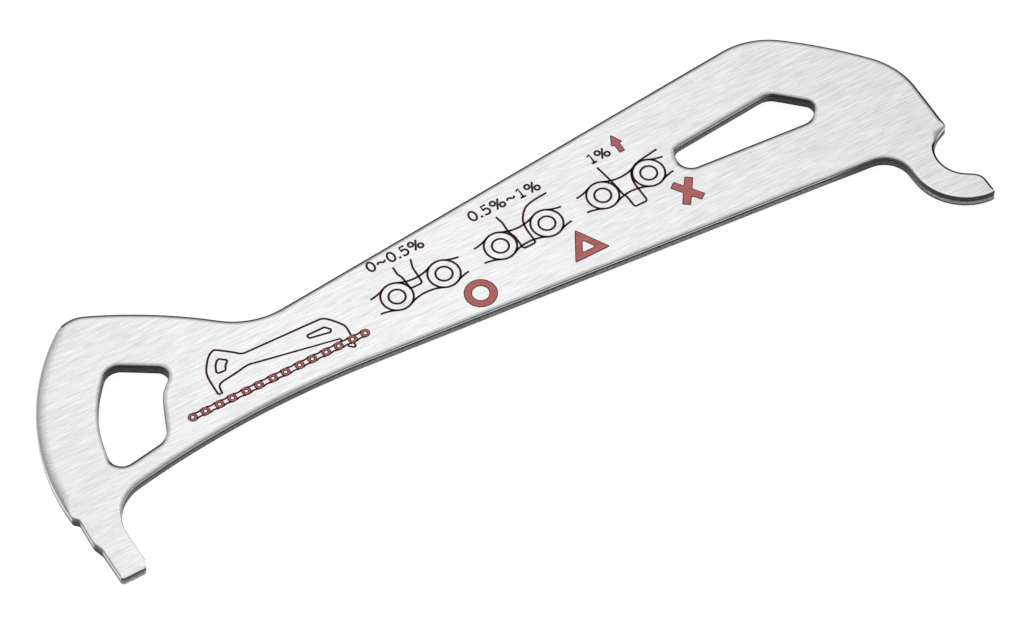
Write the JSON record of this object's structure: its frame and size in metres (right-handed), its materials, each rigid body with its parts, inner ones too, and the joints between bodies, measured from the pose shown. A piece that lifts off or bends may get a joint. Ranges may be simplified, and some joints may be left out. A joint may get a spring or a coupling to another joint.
{
  "type": "chain wear gauge",
  "caption": "Flat stamped steel chain wear gauge: a roller hook at one end and a stepped measuring tooth at the other.",
  "frame": {"origin": "centre of the chain roller that sits in the hook, on the back face of the plate", "axes": "+X from the measuring tooth to the hook, +Y away from the chain, +Z out of the printed face"},
  "size_m": [0.1243, 0.043, 0.0016],
  "materials": {
    "plate_steel": "fine straight brushing along the plate, satin",
    "mark_red": "thin printed ink, muted red",
    "line_maroon": "thin printed ink lines, dark maroon"
  },
  "bodies": {
    "root": {"gauge_plate": "plate_steel"}
  },
  "joints": []
}
